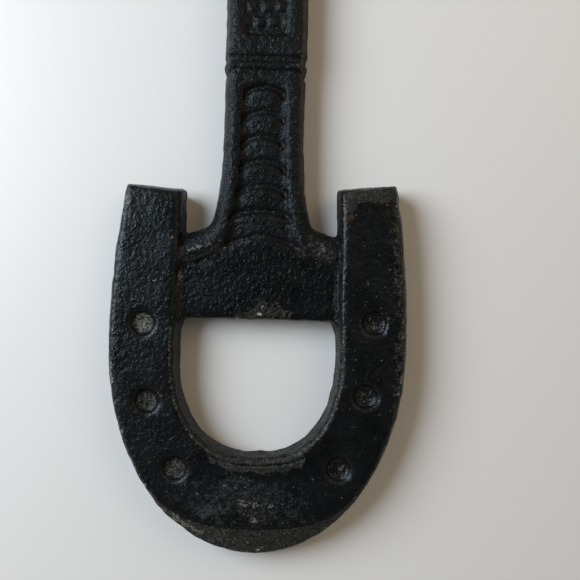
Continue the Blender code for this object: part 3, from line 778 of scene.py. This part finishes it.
class Nodes:
    """A short way to write a material's node tree."""

    def __init__(self, name):
        self.material = bpy.data.materials.new(name)
        self.material.use_nodes = True
        self.tree = self.material.node_tree
        self.shader = self.tree.nodes["Principled BSDF"]

    def link(self, value, socket):
        if isinstance(value, bpy.types.NodeSocket):
            self.tree.links.new(value, socket)
        else:
            socket.default_value = value

    def add(self, kind, output=0, **inputs):
        node = self.tree.nodes.new(kind)
        for key, value in inputs.items():
            self.link(value, node.inputs[key])
        return node.outputs[output]

    def math(self, operation, first, second, clamp=False):
        node = self.tree.nodes.new("ShaderNodeMath")
        node.operation = operation
        node.use_clamp = clamp
        self.link(first, node.inputs[0])
        self.link(second, node.inputs[1])
        return node.outputs[0]

    def about_half(self, noise):
        """A noise less its middle value."""
        return self.math("SUBTRACT", noise, 0.5)

    def weighted(self, start, *terms, clamp=False):
        """The start plus each of the terms, which are pairs of a value and its weight."""
        for i, (value, weight) in enumerate(terms, 1):
            term = value if weight == 1 else self.math("MULTIPLY", value, weight)
            start = self.math("ADD", start, term, clamp and i == len(terms))
        return start

    def step(self, value, low, high):
        node = self.tree.nodes.new("ShaderNodeMapRange")
        node.interpolation_type = "SMOOTHSTEP"
        self.link(value, node.inputs["Value"])
        node.inputs["From Min"].default_value = low
        node.inputs["From Max"].default_value = high
        return node.outputs["Result"]

    def mix(self, share, first, second, strength=1.0):
        node = self.tree.nodes.new("ShaderNodeMix")
        node.data_type = "RGBA"
        share = share if strength == 1 else self.math("MULTIPLY", share, strength)
        self.link(share, node.inputs["Factor"])
        self.link(first, node.inputs["A"])
        self.link(second, node.inputs["B"])
        return node.outputs["Result"]

    def noise(self, coordinate, wavelength, detail, roughness):
        scale = 1 / (wavelength * MM)
        inputs = {"Vector": coordinate, "Scale": scale, "Detail": detail, "Roughness": roughness}
        return self.add("ShaderNodeTexNoise", **inputs)

    def cells(self, coordinate, wavelength):
        return self.add("ShaderNodeTexVoronoi", Vector=coordinate, Scale=1 / (wavelength * MM))

    def attribute(self, name):
        node = self.tree.nodes.new("ShaderNodeAttribute")
        node.attribute_name = name
        return node.outputs["Fac"]


def colour(red, green, blue):
    return (red, green, blue, 1.0)


PAINT_SHEEN = colour(0.84, 0.94, 1.0)
PAINT_DARK = colour(0.0015, 0.0019, 0.0025)
PAINT_LIGHT = colour(0.0032, 0.0040, 0.0050)
GRIME = colour(0.0056, 0.0053, 0.0043)
# pale blue-grey for dust, and for painted sheen
DUST_AND_SHEEN = colour(0.0285, 0.0310, 0.0320)
IRON_DARK = colour(0.0045, 0.0042, 0.0034)
IRON_BROWN = colour(0.024, 0.0225, 0.0180)
IRON_PALE = colour(0.21, 0.20, 0.165)
CHIP = colour(0.46, 0.42, 0.35)
RUST_DARK = colour(0.010, 0.0072, 0.005)
RUST_LIGHT = colour(0.075, 0.034, 0.017)

# The paints' grains: wavelength in mm, detail and roughness of the noise
BLOTCH_NOISE = (11, 4.0, 0.55)
LUMP_NOISE = (1.9, 2.0, 0.5)
SAND_NOISE = (0.80, 1.5, 0.5)
GRIT_NOISE = (0.45, 1.0, 0.5)
STAIN_NOISE = (4.0, 4.0, 0.6)
GRAIN_SIZE = 0.95
SPECK_SPACING = 2.3

# How strongly one colour covers another
GRIME_COVER = 0.8
DUST_AND_SHEEN_COVER = 0.9
SPECK_COVER = 0.68
PALE_COVER = 0.9
RUST_COVER = 0.8

# Roughness of whole paint, and what each kind of wear adds to it
PAINT_ROUGHNESS = 0.23
BLOTCH_ROUGHNESS = 0.20
WORN_ROUGHNESS = 0.26
DULL_ROUGHNESS = 0.15

# The bump: its height, and the share of it that each grain has
BUMP_HEIGHT = 0.27 * MM
DOME_SHARE = 0.62
SAND_SHARE = 0.72
LUMP_SHARE = 0.70
GRIT_SHARE = 0.14
WORN_SHARE = -0.14

PAINTS = {  # grain, shine, and how much more matt than whole paint
    "head_paint": (0.66, 0.30, 0.0),
    "web_paint": (0.98, 0.17, 0.0),
    "handle_paint": (1.3, 0.22, 0.10),
    "socket_paint": (0.85, 0.27, 0.0),
}


def cast_paint(name, grain, shine, matt):
    """Black paint over sand-cast iron, gone where the piece's masks say, and lightened or kept
    black where they paint highlights, sheen and shade.
    """
    n = Nodes(name)
    where = n.tree.nodes.new("ShaderNodeTexCoord").outputs["Object"]
    bare, pale, rust, dust_and_sheen = (n.attribute(mask) for mask in ("bare", "pale", "rust", "dust_and_sheen"))
    blotch = n.noise(where, *BLOTCH_NOISE)
    lumps = n.noise(where, *LUMP_NOISE)
    sand = n.noise(where, *SAND_NOISE)
    grit = n.noise(where, *GRIT_NOISE)
    stain = n.noise(where, *STAIN_NOISE)
    grains = n.cells(where, GRAIN_SIZE)
    specks = n.cells(where, SPECK_SPACING)
    sand_swing, lump_swing = n.about_half(sand), n.about_half(lumps)

    paint = n.mix(n.step(blotch, 0.35, 0.68), PAINT_DARK, PAINT_LIGHT)
    grimy = n.weighted(stain, (sand_swing, 0.6))
    paint = n.mix(n.step(grimy, 0.48, 0.72), paint, GRIME, GRIME_COVER)
    # dust and painted sheen lighten the paint towards blue-grey
    dust_and_sheen_share = n.weighted(dust_and_sheen, (sand_swing, 2.4), (n.about_half(stain), 1.2))
    paint = n.mix(n.step(dust_and_sheen_share, 0.35, 1.15), paint, DUST_AND_SHEEN, DUST_AND_SHEEN_COVER)
    speck = n.math("MULTIPLY", n.step(specks, 0.15, 0.05), n.step(sand, 0.46, 0.58))
    paint = n.mix(speck, paint, IRON_PALE, SPECK_COVER)

    iron = n.mix(n.step(sand, 0.36, 0.60), IRON_DARK, IRON_BROWN)
    light = n.weighted(pale, (sand_swing, 1.7), (lump_swing, 0.8))
    iron = n.mix(n.step(light, 0.15, 1.05), iron, IRON_PALE, PALE_COVER)
    iron = n.mix(n.step(n.weighted(pale, (sand, 0.5)), 1.10, 1.30), iron, CHIP)
    rusted = n.mix(n.step(lumps, 0.40, 0.64), RUST_DARK, RUST_LIGHT)

    worn = n.step(n.weighted(bare, (lump_swing, 1.0), (sand_swing, 0.8)), 0.40, 0.56)
    rusty = n.step(n.weighted(rust, (lump_swing, 1.0), (sand_swing, 0.8)), 0.40, 0.62)
    surface = n.mix(rusty, n.mix(worn, paint, iron), rusted, RUST_COVER)
    n.link(surface, n.shader.inputs["Base Color"])

    wear = ((blotch, BLOTCH_ROUGHNESS), (worn, WORN_ROUGHNESS), (dust_and_sheen, DULL_ROUGHNESS))
    rough = n.weighted(PAINT_ROUGHNESS + matt, *wear, clamp=True)
    n.link(rough, n.shader.inputs["Roughness"])
    n.shader.inputs["Specular IOR Level"].default_value = shine
    n.shader.inputs["Specular Tint"].default_value = PAINT_SHEEN

    domes = n.math("SUBTRACT", 1.0, n.math("MULTIPLY", grains, grains))
    domes = n.math("MULTIPLY", domes, n.step(lumps, 0.25, 0.70))
    shares = ((sand, SAND_SHARE), (lumps, LUMP_SHARE), (grit, GRIT_SHARE), (worn, WORN_SHARE))
    relief = n.weighted(n.math("MULTIPLY", domes, DOME_SHARE), *shares)
    bump = n.add("ShaderNodeBump", Distance=BUMP_HEIGHT * grain, Height=relief)
    n.link(bump, n.shader.inputs["Normal"])
    return n.material


# ---- pieces ----


def vertex_normals(mesh):
    normals = np.empty(len(mesh.vertices) * 3, np.float32)
    mesh.vertices.foreach_get("normal", normals)
    return normals.reshape(-1, 3).astype(float)


def add_mask(mesh, name, values):
    attribute = mesh.attributes.new(name, "FLOAT", "POINT")
    attribute.data.foreach_set("value", values.astype(np.float32))


def show(name, mesh):
    """A new object in the scene with this mesh."""
    shown = bpy.data.objects.new(name, mesh)
    bpy.context.collection.objects.link(shown)
    return shown


def make_piece(node, fields, skin, curve_field, material):
    points, faces = meshed(*own_share(node, fields, skin))
    name = "cast_" + node
    mesh = bpy.data.meshes.new(name)
    mesh.from_pydata(points.tolist(), [], faces)
    mesh.validate()
    mesh.shade_smooth()
    points = points.astype(float)
    wear = WearAndPaintedLight(points, vertex_normals(mesh), sampled(curve_field, points))
    for mask, values in wear.masks().items():
        add_mask(mesh, mask, values)
    mesh.materials.append(material)
    piece = show(name, mesh)
    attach(piece, "root")
    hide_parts(node)


def make_wrench():
    fields = {node: node_field(node) for node in SLOTS}
    skin, curve_field = cast_skin(fields)
    materials = {name: cast_paint(name, *looks) for name, looks in PAINTS.items()}
    for node, slot in SLOTS.items():
        make_piece(node, fields, skin, curve_field, materials[slot])


# ---- stage ----


FLOOR_HALF_SIZE = 12.0
FLOOR_COLOUR = colour(0.80, 0.79, 0.78)
FLOOR_ROUGHNESS = 0.4

# The room is brighter near the horizon than overhead: direction's height, and strength there
ROOM_LOW = (0.2, 0.41)
ROOM_HIGH = (0.9, 0.06)
ROOM_TINT = colour(1.0, 0.90, 0.75)
LIGHTS = (  # name, place, target, size, power, tint
    ("window", (-0.60, 0.14, 0.52), (0, -0.06, 0), 0.60, 8.3, (0.82, 0.91, 1.0)),
    ("lamp", (0.70, 0.45, 0.80), (0, -0.08, 0), 0.9, 2.65, (1.0, 0.76, 0.48)),
)

SENSOR_WIDTH = 36
FOCAL_LENGTH = SENSOR_WIDTH * 700 / 580  # 700 of the photograph's 580 pixels
CAMERA_PLACE = (0.01294, -0.09388, 0.28884)
CAMERA_TURN = (-0.0012, 0.0023, 0.0295)


def make_floor():
    size = FLOOR_HALF_SIZE
    mesh = bpy.data.meshes.new("floor")
    corners = [(-size, -size, 0), (size, -size, 0), (size, size, 0), (-size, size, 0)]
    mesh.from_pydata(corners, [], [(0, 1, 2, 3)])
    floor = show("floor", mesh)
    n = Nodes("floor")
    n.shader.inputs["Base Color"].default_value = FLOOR_COLOUR
    n.shader.inputs["Roughness"].default_value = FLOOR_ROUGHNESS
    mesh.materials.append(n.material)


def area_light(name, place, target, size, power, tint):
    data = bpy.data.lights.new(name, "AREA")
    data.shape = "DISK"
    data.size = size
    data.energy = power
    data.color = tint
    light = show(name, data)
    light.location = place
    aim = Vector(target) - Vector(place)
    light.rotation_euler = aim.to_track_quat("-Z", "Y").to_euler()


def make_room():
    world = bpy.data.worlds.new("room")
    world.use_nodes = True
    tree = world.node_tree
    background = tree.nodes["Background"]
    direction = tree.nodes.new("ShaderNodeTexCoord")
    split = tree.nodes.new("ShaderNodeSeparateXYZ")
    ramp = tree.nodes.new("ShaderNodeMapRange")
    tree.links.new(direction.outputs["Generated"], split.inputs[0])
    tree.links.new(split.outputs["Z"], ramp.inputs["Value"])
    for end, (height, strength) in (("Min", ROOM_LOW), ("Max", ROOM_HIGH)):
        ramp.inputs["From " + end].default_value = height
        ramp.inputs["To " + end].default_value = strength
    tree.links.new(ramp.outputs["Result"], background.inputs["Strength"])
    background.inputs["Color"].default_value = ROOM_TINT
    bpy.context.scene.world = world
    bpy.context.scene.view_settings.view_transform = "Standard"


def make_camera():
    """Looks straight down at the head, rolled a little as the wrench lies."""
    data = bpy.data.cameras.new("camera")
    data.sensor_width = SENSOR_WIDTH
    data.lens = FOCAL_LENGTH
    data.clip_start = 0.01
    camera = show("camera", data)
    camera.location = CAMERA_PLACE
    camera.rotation_mode = "ZYX"
    camera.rotation_euler = CAMERA_TURN
    bpy.context.scene.camera = camera


make_wrench()
make_floor()
make_room()
for light in LIGHTS:
    area_light(*light)
make_camera()
